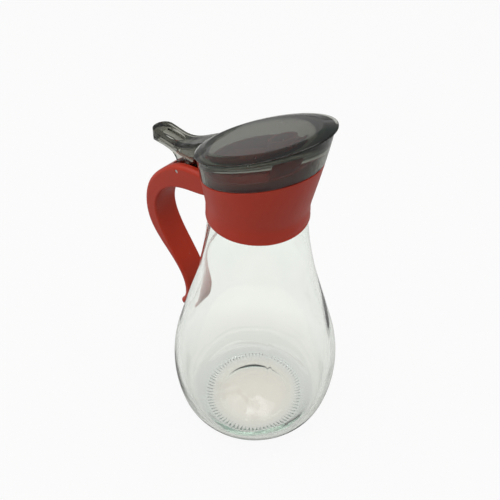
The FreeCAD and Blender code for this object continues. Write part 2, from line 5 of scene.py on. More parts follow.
import bpy
import numpy as np
from bpy.props import FloatProperty, FloatVectorProperty, PointerProperty
from bpy.types import Operator, Panel, PropertyGroup
from mathutils import Matrix, Vector


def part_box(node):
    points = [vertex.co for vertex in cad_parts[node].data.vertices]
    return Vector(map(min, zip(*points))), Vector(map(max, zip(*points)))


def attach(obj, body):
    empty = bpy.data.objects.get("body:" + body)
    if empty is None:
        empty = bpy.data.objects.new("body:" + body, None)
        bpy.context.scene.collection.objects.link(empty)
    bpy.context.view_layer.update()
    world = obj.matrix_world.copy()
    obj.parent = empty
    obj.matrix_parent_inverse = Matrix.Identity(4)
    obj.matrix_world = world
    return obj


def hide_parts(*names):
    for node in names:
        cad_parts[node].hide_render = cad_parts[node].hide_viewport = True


bl_info = {
    "name": "Oil bottle with flip lid",
    "version": (1, 0, 0),
    "blender": (4, 5, 0),
    "location": "3D View > Sidebar > Oil bottle",
    "description": "Builds the surfaces, materials and stage of a glass oil bottle",
    "category": "Add Mesh",
}

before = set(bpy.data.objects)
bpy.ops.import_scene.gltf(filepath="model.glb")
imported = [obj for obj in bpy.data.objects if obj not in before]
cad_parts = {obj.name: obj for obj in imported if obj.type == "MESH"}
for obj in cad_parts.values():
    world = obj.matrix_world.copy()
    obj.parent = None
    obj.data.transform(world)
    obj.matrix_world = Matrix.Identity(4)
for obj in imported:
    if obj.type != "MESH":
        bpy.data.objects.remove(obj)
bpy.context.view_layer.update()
GLASS_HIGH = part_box("glass_bottle")[1]

MM = 0.001

# ---------------------------------------------------------------- sizes the glass shares with its solid

BELLY_R = GLASS_HIGH.x
BELLY_Z = 39.5 * MM
BELLY_ARC = 85.0 * MM
HEEL_ARC = 26.1 * MM
SHOULDER_ANGLE = math.radians(16.5)
NECK_ANGLE = math.radians(4.9)
BASE_RING_R = 26.0 * MM
BASE_RING_WIDTH = 4.0 * MM
BASE_RING_EDGE = 1.2 * MM
BASE_RING_SET_IN = 0.5 * MM
PUSH_UP = 4.5 * MM
FLOOR_THICKNESS = 5.0 * MM
RIM_Z = GLASS_HIGH.z
FINISH_HEIGHT = 14.5 * MM
FINISH_R = 21.3 * MM
FINISH_WALL = 3.3 * MM
NECK_STEP = 2.4 * MM
NECK_LEDGE = 0.9 * MM
BORE_RISE = 4.0 * MM
RIM_EDGE = 1.0 * MM
COLLAR_Z = RIM_Z - FINISH_HEIGHT
MOUTH_R = FINISH_R - FINISH_WALL
NECK_R = FINISH_R + NECK_STEP
THREAD_DEPTH = 1.05 * MM
THREAD_PITCH = 5.0 * MM
THREAD_HALF = 1.0 * MM
THREAD_TURNS = 1.25
THREAD_START = 3.4 * MM

# ---------------------------------------------------------------- surface detail of the glass

# inner floor: where it leaves the inner heel, how far it keeps that line, and the level middle
FLOOR_START = math.radians(-36.0)
FLOOR_PULL = 8.0 * MM
FLOOR_LEVEL_R = 13.0 * MM

# inner wall under the collar: how far it stands in, and over what height it does so
NECK_SWELL = 1.8 * MM
NECK_SWELL_REACH = 30.0 * MM

# ripples of the inner wall: (size, waves round the bottle, phase per belly height, phase)
RIPPLES = ((1.0, 2, 0.8, 1.3), (0.6, 3, -2.1, 0.0), (0.45, 5, 3.7, 0.5), (0.3, 9, -5.0, 0.0))
RIPPLE_SHARE = 0.5
RIPPLE_GAIN_LOW = 1.6
RIPPLE_FADE = 20.0 * MM

# thread: how flat the ridge's top is, and the share of a turn over which its ends run out
THREAD_ROUNDING = 1.4
THREAD_FADE = 0.06
THREAD_ROW_PLAY = 0.1 * MM

# notches just outside the bearing ring
TICKS = 80
TICK_IN = 27.9 * MM
TICK_OUT = 30.0 * MM
TICK_EDGE = 0.5 * MM
TICK_LIMIT_Z = 3.0 * MM
TICK_DEPTH = 0.9 * MM

# ridges where the halves of the mould met
SEAM_ANGLE = math.radians(-38.5)
SEAM_HALF = math.radians(1.2)
SEAM_HEIGHT = 0.14 * MM

# points on each stretch of the profile, and round the bottle
PUSH_UP_POINTS = 12
RING_POINTS = 12
HEEL_POINTS = 44
BELLY_POINTS = 26
SHOULDER_POINTS = 8
NECK_POINTS = 18
FINISH_POINTS = 40
RIM_POINTS = 5
BORE_POINTS = 4
INNER_NECK_POINTS = 30
INNER_HEEL_POINTS = 20
FLOOR_POINTS = 36
GLASS_COLUMNS = 320
GLASS_SHARP_DEGREES = 60.0

# ---------------------------------------------------------------- colours of the finishes

WHITE = (1.0, 1.0, 1.0, 1.0)
PALE_DUST = (0.6, 0.55, 0.5, 1.0)
DARK_SPECK = (0.12, 0.12, 0.11, 1.0)
PIN_STEEL = (0.62, 0.62, 0.6)
SPRING_STEEL = (0.5, 0.5, 0.5)
SEAL_DARK = (0.72, 0.71, 0.67, 1.0)
SEAL_PALE = (0.82, 0.81, 0.78, 1.0)

# ---------------------------------------------------------------- camera and stage

# camera, as the photograph has it
CAMERA_PLACE = Vector((172.47, -197.12, 353.1)) * MM
CAMERA_RIGHT = Vector((0.738, 0.675, 0.009))
CAMERA_FORWARD = Vector((-0.497, 0.553, -0.669))
LENS_MM = 51.1
SENSOR_MM = 36.0

# soft lamps: (name, place, width), all aimed at one point of the bottle
LAMPS = (("key", (-0.5, -0.5, 0.9), 1.3), ("top", (0.25, 0.1, 1.1), 1.0))
LAMP_TARGET = (0.0, 0.0, 0.1)

FLOOR_RINGS = (0.05, 0.15, 0.4, 1.0, 3.0)
FLOOR_COLUMNS = 96
FLOOR_Z = -0.02 * MM

# painted light and shade of the floor seen through glass, by the distance from the bottle's axis as a share
# of FLOOR_REACH: a painted warm caustic light under the base, a painted grey shadow round it, then white, and
# a painted darker teal-grey far away
FLOOR_REACH = 1.5
FLOOR_PAINTED_LIGHT_AND_SHADE = (
    (0.0, (0.78, 0.72, 0.65)), (0.014, (0.78, 0.72, 0.65)), (0.0185, (0.64, 0.64, 0.62)),
    (0.03, (0.78, 0.775, 0.73)), (0.055, (0.96, 0.96, 0.92)), (0.16, (1.0, 1.0, 0.97)),
    (0.4, (1.0, 1.0, 0.97)), (1.0, (0.5, 0.6, 0.56)))

# the studio's light by the height of its direction, and its tone where glass bends a view into it
SKY = (
    (-1.0, (0.9, 0.9, 0.9)), (-0.02, (0.5, 0.5, 0.5)), (0.03, (0.36, 0.36, 0.35)),
    (0.2, (0.26, 0.30, 0.28)), (0.6, (0.4, 0.4, 0.4)), (1.0, (0.9, 0.9, 0.9)))
SKY_THROUGH = (
    (-1.0, (0.95, 0.95, 0.91)), (-0.02, (0.55, 0.66, 0.62)), (0.1, (0.30, 0.42, 0.38)),
    (0.4, (0.36, 0.48, 0.44)), (0.8, (0.9, 0.9, 0.86)), (1.0, (0.95, 0.94, 0.9)))


# ---------------------------------------------------------------- mesh helpers


def mesh_piece(name, points, faces, sharp_degrees=40.0):
    """A smooth-shaded mesh object at the origin from an (n, 3) array and a list of face arrays."""
    mesh = bpy.data.meshes.new(name)
    mesh.from_pydata(points.tolist(), [], [f for part in faces for f in part.tolist()])
    mesh.polygons.foreach_set("use_smooth", np.ones(len(mesh.polygons), bool))
    mesh.update()
    mesh.set_sharp_from_angle(angle=math.radians(sharp_degrees))
    piece = bpy.data.objects.new(name, mesh)
    bpy.context.scene.collection.objects.link(piece)
    return piece


def ring_faces(rows, columns):
    """Quads between successive closed rings of the same number of points."""
    r, c = np.meshgrid(np.arange(rows - 1), np.arange(columns), indexing="ij")
    n = (c + 1) % columns
    corners = [r * columns + c, r * columns + n, (r + 1) * columns + n, (r + 1) * columns + c]
    return np.stack(corners, -1).reshape(-1, 4)


def closed_shell(name, rings, first_pole, last_pole, sharp_degrees):
    """Rings of points, as (rows, columns, 3), closed by a fan at each end onto a pole, faces outwards."""
    rows, columns, _ = rings.shape
    points = np.concatenate([rings.reshape(-1, 3), [first_pole, last_pole]])
    pole_a, pole_b = len(points) - 2, len(points) - 1
    c = np.arange(columns)
    n = (c + 1) % columns
    last = (rows - 1) * columns
    quads = ring_faces(rows, columns)
    fans = np.concatenate([
        np.stack([np.full(columns, pole_a), n, c], -1),
        np.stack([np.full(columns, pole_b), last + c, last + n], -1),
    ])
    # the sum of a . (b x c) over the triangles is six times the volume, negative if they point inwards
    both = np.concatenate([quads[:, [0, 1, 2]], quads[:, [0, 2, 3]], fans])
    a, b, d = (points[both[:, i]] for i in range(3))
    if np.einsum("ij,ij->", a, np.cross(b, d)) < 0:
        quads, fans = quads[:, ::-1], fans[:, ::-1]
    return mesh_piece(name, points, [quads, fans], sharp_degrees)


def arc_points(centre, radius, start, end, count):
    """Points on a circle about centre, from one angle to another, ends included."""
    t = np.linspace(start, end, count)
    return np.stack([centre[0] + radius * np.cos(t), centre[1] + radius * np.sin(t)], -1)


def line_points(a, b, count):
    """Evenly spaced points on a straight line, ends included."""
    return np.linspace(a, b, count)


def cap_points(radius, z_edge, z_crown, count):
    """A shallow spherical cap's profile, from near its crown to its edge."""
    r = np.linspace(radius / count, radius, count)
    rise = z_crown - z_edge
    sphere = (radius ** 2 + rise ** 2) / (2 * rise)
    return np.stack([r, z_crown - sphere + np.sqrt(sphere ** 2 - r ** 2)], -1)


def join_profile(*parts):
    """Stacks stretches of a profile and drops points that repeat."""
    points = np.concatenate(parts)
    step = np.linalg.norm(np.diff(points, axis=0), axis=1)
    return points[np.concatenate([[True], step > MM * MM])]


def smooth_step(x):
    """The cubic 3x^2 - 2x^3, level at 0 and at 1 and clamped outside them."""
    x = np.clip(x, 0.0, 1.0)
    return x * x * (3 - 2 * x)


# ---------------------------------------------------------------- node helpers


def node(tree, kind, **settings):
    """A new node with its settings."""
    made = tree.nodes.new(kind)
    for key, value in settings.items():
        setattr(made, key, value)
    return made


def plug(tree, *pairs):
    """Links each (source, target) pair of sockets."""
    for source, target in pairs:
        tree.links.new(source, target)


def feed(tree, socket, value):
    """Sets a socket to a plain number or colour, or links it to another socket."""
    if isinstance(value, (int, float, tuple)):
        socket.default_value = value
    else:
        plug(tree, (value, socket))


def node_group(name, inputs, outputs):
    """An empty shader node group with float inputs and the outputs given as {name: socket type}."""
    group = bpy.data.node_groups.new(name, "ShaderNodeTree")
    group.interface.new_socket("Vector", in_out="INPUT", socket_type="NodeSocketVector")
    for label, default in inputs.items():
        socket = group.interface.new_socket(label, in_out="INPUT", socket_type="NodeSocketFloat")
        socket.default_value = default
    for label, kind in outputs.items():
        group.interface.new_socket(label, in_out="OUTPUT", socket_type=kind)
    return group, node(group, "NodeGroupInput").outputs, node(group, "NodeGroupOutput").inputs


def map_range(tree, source, low, high, to_low=0.0, to_high=1.0):
    """The source stretched from one range to another, and clamped to it."""
    made = node(tree, "ShaderNodeMapRange", clamp=True)
    for socket, value in zip(made.inputs, (source, low, high, to_low, to_high)):
        feed(tree, socket, value)
    return made.outputs[0]


def math_node(tree, operation, a, b):
    """A sum, product or comparison of two numbers or sockets."""
    made = node(tree, "ShaderNodeMath", operation=operation)
    for socket, value in zip(made.inputs, (a, b)):
        feed(tree, socket, value)
    return made.outputs[0]


def noise(tree, vector, scale, detail=2.0, roughness=0.5):
    """Soft noise whose scale is a number or a socket."""
    made = node(tree, "ShaderNodeTexNoise")
    feed(tree, made.inputs["Scale"], scale)
    made.inputs["Detail"].default_value = detail
    made.inputs["Roughness"].default_value = roughness
    plug(tree, (vector, made.inputs["Vector"]))
    return made.outputs["Fac"]


def mix_color(tree, factor, a, b):
    """Colour a where the factor is 0 and b where it is 1."""
    made = node(tree, "ShaderNodeMix", data_type="RGBA")
    plug(tree, (factor, made.inputs[0]))
    feed(tree, made.inputs[6], a)
    feed(tree, made.inputs[7], b)
    return made.outputs[2]


def color_ramp(tree, source, stops):
    """Colours by the source's value, straight between the stops."""
    ramp = node(tree, "ShaderNodeValToRGB")
    elements = ramp.color_ramp.elements
    while len(elements) < len(stops):
        elements.new(0.5)
    for element, (position, color) in zip(elements, stops):
        element.position = position
        element.color = (*color, 1.0)
    plug(tree, (source, ramp.inputs[0]))
    return ramp.outputs["Color"]


def add_bump(tree, shader, height, strength, distance):
    """Lets a height bend the shader's normal."""
    bump = node(tree, "ShaderNodeBump")
    bump.inputs["Strength"].default_value = strength
    bump.inputs["Distance"].default_value = distance
    plug(tree, (height, bump.inputs["Height"]), (bump.outputs[0], shader.inputs["Normal"]))


def shade(color, factor):
    """A colour made darker or lighter, with alpha."""
    return (*(part * factor for part in color), 1.0)


def assign(piece, material):
    """Makes a material the piece's only one."""
    piece.data.materials.clear()
    piece.data.materials.append(material)


# ---------------------------------------------------------------- shared surface effects


def build_moulded_grain():
    """Satin moulded plastic: an uneven gloss, a fine orange-peel height and slow shade changes."""
    group, given, result = node_group(
        "moulded_grain",
        {"Peel Scale": 900.0, "Cloud Scale": 45.0, "Gloss Low": 0.34, "Gloss High": 0.46},
        {"Height": "NodeSocketFloat", "Cloud": "NodeSocketFloat", "Roughness": "NodeSocketFloat"})
    peel = noise(group, given["Vector"], given["Peel Scale"])
    cloud = noise(group, given["Vector"], given["Cloud Scale"], detail=3.0)
    blend = node(group, "ShaderNodeMix", data_type="FLOAT")
    plug(group, (cloud, blend.inputs[0]), (given["Gloss Low"], blend.inputs[2]),
         (given["Gloss High"], blend.inputs[3]), (peel, result["Height"]),
         (cloud, result["Cloud"]), (blend.outputs[0], result["Roughness"]))
    return group


def build_dust():
    """Sparse small grains: a mask that is 1 inside the middle of a few small cells."""
    group, given, result = node_group(
        "dust_grains", {"Scale": 260.0, "Size": 0.09, "Share": 0.12}, {"Mask": "NodeSocketFloat"})
    cells = node(group, "ShaderNodeTexVoronoi", feature="F1")
    plug(group, (given["Vector"], cells.inputs["Vector"]), (given["Scale"], cells.inputs["Scale"]))
    near = math_node(group, "LESS_THAN", cells.outputs["Distance"], given["Size"])
    part = node(group, "ShaderNodeSeparateColor")
    plug(group, (cells.outputs["Color"], part.inputs[0]))
    few = math_node(group, "LESS_THAN", part.outputs[0], given["Share"])
    plug(group, (math_node(group, "MULTIPLY", near, few), result["Mask"]))
    return group


def build_smudge():
    """Handling marks on a polished surface: faint patches as a mask."""
    group, given, result = node_group(
        "smudges", {"Scale": 30.0, "Amount": 1.0}, {"Mask": "NodeSocketFloat"})
    patches = noise(group, given["Vector"], given["Scale"], detail=4.0, roughness=0.6)
    shaped = map_range(group, patches, 0.5, 0.72)
    plug(group, (math_node(group, "MULTIPLY", shaped, given["Amount"]), result["Mask"]))
    return group


GROUP_MAKERS = {"moulded_grain": build_moulded_grain, "dust_grains": build_dust, "smudges": build_smudge}


def use_group(tree, name, vector, **values):
    """Places a shared node group, building it at its first use, and sets its values."""
    group = bpy.data.node_groups.get(name) or GROUP_MAKERS[name]()
    placed = node(tree, "ShaderNodeGroup", node_tree=group)
    for key, value in values.items():
        placed.inputs[key.replace("_", " ")].default_value = value
    plug(tree, (vector, placed.inputs["Vector"]))
    return placed.outputs


# ---------------------------------------------------------------- materials


def new_material(name):
    """A material with its node tree, its Principled shader and its Object coordinates."""
    material = bpy.data.materials.new(name)
    material.use_nodes = True
    tree = material.node_tree
    place = node(tree, "ShaderNodeTexCoord").outputs["Object"]
    return material, tree, tree.nodes["Principled BSDF"], place


def depth_tint(tree, color, density):
    """Light is absorbed inside the solid, more the longer its way through."""
    absorb = node(tree, "ShaderNodeVolumeAbsorption")
    absorb.inputs["Color"].default_value = (*color, 1.0)
    absorb.inputs["Density"].default_value = density
    plug(tree, (absorb.outputs[0], tree.nodes["Material Output"].inputs["Volume"]))


def red_material(name, color, peel_scale=900.0):
    """Satin polypropylene, slightly cloudy, with a fine peel and a few dust grains."""
    material, tree, shader, place = new_material(name)
    surface = use_group(tree, "moulded_grain", place, Peel_Scale=peel_scale)
    tint = mix_color(tree, surface["Cloud"], shade(color, 0.86), shade(color, 1.12))
    dust = use_group(tree, "dust_grains", place, Scale=420.0, Size=0.07, Share=0.02)
    plug(tree, (mix_color(tree, dust["Mask"], tint, PALE_DUST), shader.inputs["Base Color"]),
         (surface["Roughness"], shader.inputs["Roughness"]))
    shader.inputs["Specular IOR Level"].default_value = 0.34
    add_bump(tree, shader, surface["Height"], strength=0.12, distance=0.1 * MM)
    return material


def glass_material(settings):
    """Clear bottle glass: tinted in depth, with a few dark specks, light smudges and slow waves."""
    material, tree, shader, place = new_material("bottle_glass")
    shader.inputs["Transmission Weight"].default_value = 1.0
    shader.inputs["IOR"].default_value = 1.5
    specks = use_group(tree, "dust_grains", place, Scale=110.0, Size=0.035, Share=0.06)
    marks = use_group(tree, "smudges", place, Scale=28.0, Amount=0.05)
    plug(tree, (mix_color(tree, specks["Mask"], WHITE, DARK_SPECK), shader.inputs["Base Color"]),
         (marks["Mask"], shader.inputs["Roughness"]))
    waves = noise(tree, place, 38.0, detail=1.0)
    add_bump(tree, shader, waves, strength=0.25, distance=0.6 * MM)
    depth_tint(tree, settings.glass_tint, settings.glass_density)
    return material


def smoke_material(settings):
    """Polished smoke-grey plastic with rough dust grains and handling marks."""
    material, tree, shader, place = new_material("smoky_lid")
    shader.inputs["Base Color"].default_value = WHITE
    shader.inputs["Transmission Weight"].default_value = 1.0
    shader.inputs["IOR"].default_value = 1.49
    shader.inputs["Specular IOR Level"].default_value = 0.25
    dust = use_group(tree, "dust_grains", place, Scale=240.0, Size=0.075, Share=0.10)
    marks = use_group(tree, "smudges", place, Scale=60.0, Amount=0.08)
    matt_grains = math_node(tree, "MULTIPLY", dust["Mask"], 0.8)
    rough = math_node(tree, "ADD", marks["Mask"], matt_grains)
    plug(tree, (rough, shader.inputs["Roughness"]))
    depth_tint(tree, settings.smoke_tint, settings.smoke_density)
    return material


def steel_material(name, color, scale):
    """Drawn steel: fine streaks in its colour and gloss."""
    material, tree, shader, place = new_material(name)
    streaks = noise(tree, place, scale, detail=3.0)
    shader.inputs["Metallic"].default_value = 1.0
    tint = mix_color(tree, streaks, shade(color, 0.8), shade(color, 1.1))
    rough = map_range(tree, streaks, 0.3, 0.7, to_low=0.18, to_high=0.38)
    plug(tree, (tint, shader.inputs["Base Color"]), (rough, shader.inputs["Roughness"]))
    return material


def silicone_material():
    """Milky soft seal with a faint mottle."""
    material, tree, shader, place = new_material("milky_silicone")
    mottle = noise(tree, place, 120.0, detail=3.0)
    plug(tree, (mix_color(tree, mottle, SEAL_DARK, SEAL_PALE), shader.inputs["Base Color"]))
    shader.inputs["Roughness"].default_value = 0.6
    add_bump(tree, shader, mottle, strength=0.1, distance=0.1 * MM)
    return material


def floor_material(settings):
    """Pale surface with soft shadows, plain white seen directly; through glass it shows a painted shadow and
    painted caustic light by the distance from the bottle's axis.
    """
    material, tree, shader, place = new_material("white_floor")
    shader.inputs["Base Color"].default_value = (*settings.floor_color, 1.0)
    shader.inputs["Roughness"].default_value = 0.8
    shader.inputs["Specular IOR Level"].default_value = 0.1
    rays = node(tree, "ShaderNodeLightPath").outputs
    away = node(tree, "ShaderNodeVectorMath", operation="LENGTH")
    plug(tree, (place, away.inputs[0]))
    # painted light and shade: seen through glass, the floor takes a painted caustic light and a painted
    # shadow by its distance from the bottle's axis
    bent = color_ramp(tree, map_range(tree, away.outputs["Value"], 0.0, FLOOR_REACH), FLOOR_PAINTED_LIGHT_AND_SHADE)
    glow = node(tree, "ShaderNodeEmission")
    plug(tree, (mix_color(tree, rays["Is Camera Ray"], bent, WHITE), glow.inputs["Color"]))
    direct = math_node(tree, "MULTIPLY", rays["Is Camera Ray"], settings.floor_glow)
    # through glass the floor glows with its painted shadow and painted caustic light, in this share
    through = math_node(tree, "MULTIPLY", rays["Is Transmission Ray"], settings.floor_painted_light_through)
    share = math_node(tree, "MAXIMUM", direct, through)
    mix = node(tree, "ShaderNodeMixShader")
    plug(tree, (share, mix.inputs[0]), (shader.outputs[0], mix.inputs[1]), (glow.outputs[0], mix.inputs[2]),
         (mix.outputs[0], tree.nodes["Material Output"].inputs["Surface"]))
    return material


# ---------------------------------------------------------------- settings


class BottleSettings(PropertyGroup):
    """Sizes and colours that a user would change"""
    glass_wall: FloatProperty(
        name="Glass wall", description="Thickness of the bottle's side", default=2.9 * MM,
        min=1.5 * MM, max=5.0 * MM, subtype="DISTANCE")
    unevenness: FloatProperty(
        name="Unevenness", description="How far the inside of the glass wanders", default=0.22 * MM,
        min=0.0, max=1.0 * MM, subtype="DISTANCE")
    glass_tint: FloatVectorProperty(
        name="Glass tint", description="Colour that deep glass lets through", default=(0.45, 0.70, 0.55),
        size=3, min=0.0, max=1.0, subtype="COLOR")
    glass_density: FloatProperty(
        name="Glass depth", description="How strongly depth tints the glass, per metre",
        default=14.0, min=0.0)
    red: FloatVectorProperty(
        name="Red", description="Colour of the collar and handle", default=(0.46, 0.030, 0.010),
        size=3, min=0.0, max=1.0, subtype="COLOR")
    smoke_tint: FloatVectorProperty(
        name="Smoke tint", description="Colour that the lid lets through", default=(0.15, 0.15, 0.07),
        size=3, min=0.0, max=1.0, subtype="COLOR")
    smoke_density: FloatProperty(
        name="Smoke depth", description="How strongly depth darkens the lid, per metre",
        default=400.0, min=0.0)
    floor_color: FloatVectorProperty(
        name="Floor", description="Colour of the surface under the bottle", default=(0.44, 0.44, 0.43),
        size=3, min=0.0, max=1.0, subtype="COLOR")
    floor_glow: FloatProperty(
        name="Floor white", description="Share of plain white seen directly",
        default=0.93, min=0.0, max=1.0)
    # share of the floor's painted shadow and painted caustic light that shows through glass
    floor_painted_light_through: FloatProperty(
        name="Floor through glass", description="Share of the floor's own tones seen through glass",
        default=0.94, min=0.0, max=1.0)
    lamp_power: FloatProperty(
        name="Lamp", description="Power of each soft lamp", default=6.0, min=0.0, unit="POWER")


# ---------------------------------------------------------------- glass


def body_arcs():
    """Centres and angles of the belly, heel and neck arcs, tangent to one another and to the shoulder."""
    belly = np.array([BELLY_R - BELLY_ARC, BELLY_Z])
    ring = np.array([BASE_RING_R, 0.0])
    # the heel's centre is one heel radius from the ring, and lies inside the belly's circle by as much
    far = BELLY_ARC - HEEL_ARC
    gap = np.linalg.norm(ring - belly)
    along = (far ** 2 - HEEL_ARC ** 2 + gap ** 2) / (2 * gap)
    off = math.sqrt(far ** 2 - along ** 2)
    d = (ring - belly) / gap
    heel = belly + along * d + off * np.array([-d[1], d[0]])
    meet = math.atan2(heel[1] - belly[1], heel[0] - belly[0])
    # the neck arc touches the shoulder's line and the neck's line at the same distance from their crossing
    start = belly + BELLY_ARC * np.array([math.cos(SHOULDER_ANGLE), math.sin(SHOULDER_ANGLE)])
    d1 = np.array([-math.sin(SHOULDER_ANGLE), math.cos(SHOULDER_ANGLE)])
    d2 = np.array([-math.sin(NECK_ANGLE), math.cos(NECK_ANGLE)])
    top = np.array([NECK_R, COLLAR_Z])
    reach = top - start
    tangent = (reach[0] * d1[1] - reach[1] * d1[0]) / (d2[0] * d1[1] - d2[1] * d1[0])
    end = top - tangent * d2 - tangent * d1
    radius = tangent / math.tan((SHOULDER_ANGLE - NECK_ANGLE) / 2)
    centre = end + radius * np.array([math.cos(SHOULDER_ANGLE), math.sin(SHOULDER_ANGLE)])
    return belly, heel, meet, start, end, centre, radius


def side_profile(inset):
    """Belly arc and straight shoulder, set in by inset along their normals."""
    belly, _, meet, start, end, _, _ = body_arcs()
    normal = inset * np.array([math.cos(SHOULDER_ANGLE), math.sin(SHOULDER_ANGLE)])
    return join_profile(
        arc_points(belly, BELLY_ARC - inset, meet, SHOULDER_ANGLE, BELLY_POINTS),
        line_points(start - normal, end - normal, SHOULDER_POINTS))


def inner_neck(start):
    """Parabola that leaves the inner shoulder along its own line and ends at the mouth's bore."""
    up = np.array([-math.sin(SHOULDER_ANGLE), math.cos(SHOULDER_ANGLE)])
    end = np.array([MOUTH_R, COLLAR_Z + BORE_RISE])
    bend = start + up * np.linalg.norm(end - start) / 2
    t = np.linspace(0, 1, INNER_NECK_POINTS)[:, None]
    return start * (1 - t) ** 2 + 2 * bend * t * (1 - t) + end * t ** 2


def inner_floor(start, direction, crown):
    """Cubic curve from the inner heel, along the heel's own line, to a level crown on the axis."""
    a, b, c, d = np.array([start, start + FLOOR_PULL * direction, (FLOOR_LEVEL_R, crown), (0.0, crown)])
    t = np.linspace(0, 1, FLOOR_POINTS)[:, None]
    return a * (1 - t) ** 3 + 3 * b * t * (1 - t) ** 2 + 3 * c * t ** 2 * (1 - t) + d * t ** 3


def outer_profile():
    """The outside, from near the push-up's middle over the bearing ring and up to the collar."""
    _, heel, meet, _, _, centre, radius = body_arcs()
    ring_in = BASE_RING_R - BASE_RING_WIDTH
    heel_start = math.asin((BASE_RING_EDGE - heel[1]) / HEEL_ARC)
    return join_profile(
        cap_points(ring_in, 0.0, PUSH_UP, PUSH_UP_POINTS),
        line_points((ring_in, 0.0), (BASE_RING_R - BASE_RING_SET_IN, 0.0), RING_POINTS),
        arc_points(heel, HEEL_ARC, heel_start, meet, HEEL_POINTS),
        side_profile(0.0),
        arc_points(centre, radius, math.pi + SHOULDER_ANGLE, math.pi + NECK_ANGLE, NECK_POINTS))


def finish_profile():
    """The threaded finish, its rounded rim and the bore below it."""
    rim_low, half_turn = RIM_Z - RIM_EDGE, math.pi / 2
    return join_profile(
        line_points((FINISH_R, COLLAR_Z + NECK_LEDGE), (FINISH_R, rim_low), FINISH_POINTS),
        arc_points((FINISH_R - RIM_EDGE, rim_low), RIM_EDGE, 0.0, half_turn, RIM_POINTS),
        arc_points((MOUTH_R + RIM_EDGE, rim_low), RIM_EDGE, half_turn, math.pi, RIM_POINTS),
        line_points((MOUTH_R, rim_low), (MOUTH_R, COLLAR_Z + BORE_RISE), BORE_POINTS))


def inner_profile(wall):
    """The inside, from the bore down to near the middle of the floor."""
    _, heel, meet, _, _, _, _ = body_arcs()
    side = side_profile(wall)
    heel_arc = arc_points(heel, HEEL_ARC - wall, meet, FLOOR_START, INNER_HEEL_POINTS)
    direction = np.array([math.sin(FLOOR_START), -math.cos(FLOOR_START)])
    floor = inner_floor(heel_arc[-1], direction, PUSH_UP + FLOOR_THICKNESS)
    return join_profile(inner_neck(side[-1])[::-1], side[::-1], heel_arc, floor[:-1])


def thread_height(profile, angle):
    """How far the helical ridge stands out: a rounded step about a height that climbs a pitch each turn."""
    rise = np.zeros((len(profile), len(angle)))
    for lap in range(math.ceil(THREAD_TURNS)):
        turns = angle / (2 * math.pi) + lap
        centre = COLLAR_Z + THREAD_START + THREAD_PITCH * turns
        near = 1 - np.abs(profile[:, 1:2] - centre[None, :]) / THREAD_HALF
        fade = smooth_step(turns / THREAD_FADE) * smooth_step((THREAD_TURNS - turns) / THREAD_FADE)
        rise = np.maximum(rise, smooth_step(near * THREAD_ROUNDING) * fade[None, :])
    return THREAD_DEPTH * rise * (profile[:, 0:1] > FINISH_R - THREAD_ROW_PLAY)


def inner_waves(profile, angle, size):
    """Slow ripples of the inner wall: a few sines of angle and height, strongest low down."""
    r, z = profile[:, 0:1], profile[:, 1:2]
    gain = 1 + RIPPLE_GAIN_LOW * smooth_step((BELLY_Z - z) / BELLY_Z)
    fade = smooth_step((COLLAR_Z - z) / RIPPLE_FADE) * smooth_step(r / RIPPLE_FADE)
    ripples = sum(part * np.sin(waves * angle + climb * z / BELLY_Z + phase)
                  for part, waves, climb, phase in RIPPLES)
    return size * RIPPLE_SHARE * gain * fade * ripples


def neck_swell(profile):
    """How far the inner wall stands in below the collar: a smooth step up the shoulder's last stretch."""
    z = profile[:, 1:2]
    rise = smooth_step((z - COLLAR_Z + NECK_SWELL_REACH) / NECK_SWELL_REACH)
    return NECK_SWELL * rise * (z < COLLAR_Z)


def mould_seams(profile, angle):
    """Two thin upright ridges opposite each other: a triangle across the angle, fading towards the base."""
    off = np.abs((angle - SEAM_ANGLE + math.pi / 2) % math.pi - math.pi / 2)
    return SEAM_HEIGHT * np.maximum(1 - off / SEAM_HALF, 0.0) * smooth_step(profile[:, 1:2] / COLLAR_Z)


def ring_ticks(profile, angle):
    """Short notches across a band of radii: the positive half of a cosine of the angle."""
    r, z = profile[:, 0:1], profile[:, 1:2]
    band = smooth_step((r - TICK_IN) / TICK_EDGE) * smooth_step((TICK_OUT - r) / TICK_EDGE)
    return TICK_DEPTH * band * (z < TICK_LIMIT_Z) * np.maximum(np.cos(TICKS * angle), 0.0)


def build_glass(settings):
    """The bottle as one closed surface: a profile turned about Z, with thread, ticks and an uneven inside."""
    outside, finish, inside = outer_profile(), finish_profile(), inner_profile(settings.glass_wall)
    angle = np.linspace(0, 2 * math.pi, GLASS_COLUMNS, endpoint=False)
    waves = inner_waves(inside, angle, settings.unevenness)
    radius = np.concatenate([
        outside[:, 0:1] + mould_seams(outside, angle),
        finish[:, 0:1] + thread_height(finish, angle),
        inside[:, 0:1] + waves - neck_swell(inside)])
    height = np.concatenate([
        outside[:, 1:2] + ring_ticks(outside, angle),
        np.repeat(finish[:, 1:2], GLASS_COLUMNS, axis=1),
        inside[:, 1:2] + waves * (inside[:, 1:2] < HEEL_ARC)])
    rings = np.stack([radius * np.cos(angle), radius * np.sin(angle), height], -1)
    low_pole, high_pole = (0.0, 0.0, PUSH_UP), (0.0, 0.0, float(height[-1].mean()))
    piece = closed_shell("bottle_body", rings, low_pole, high_pole, GLASS_SHARP_DEGREES)
    assign(piece, glass_material(settings))
    return piece


class OILBOTTLE_OT_glass(Operator):
    """Build the clear glass body, which stands for its plain solid"""
    bl_idname = "oilbottle.glass"
    bl_label = "Glass body"

    def execute(self, context):
        piece = build_glass(context.scene.oil_bottle)
        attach(piece, "bottle")
        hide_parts("glass_bottle")
        return {"FINISHED"}


# ---------------------------------------------------------------- pieces that keep their solids


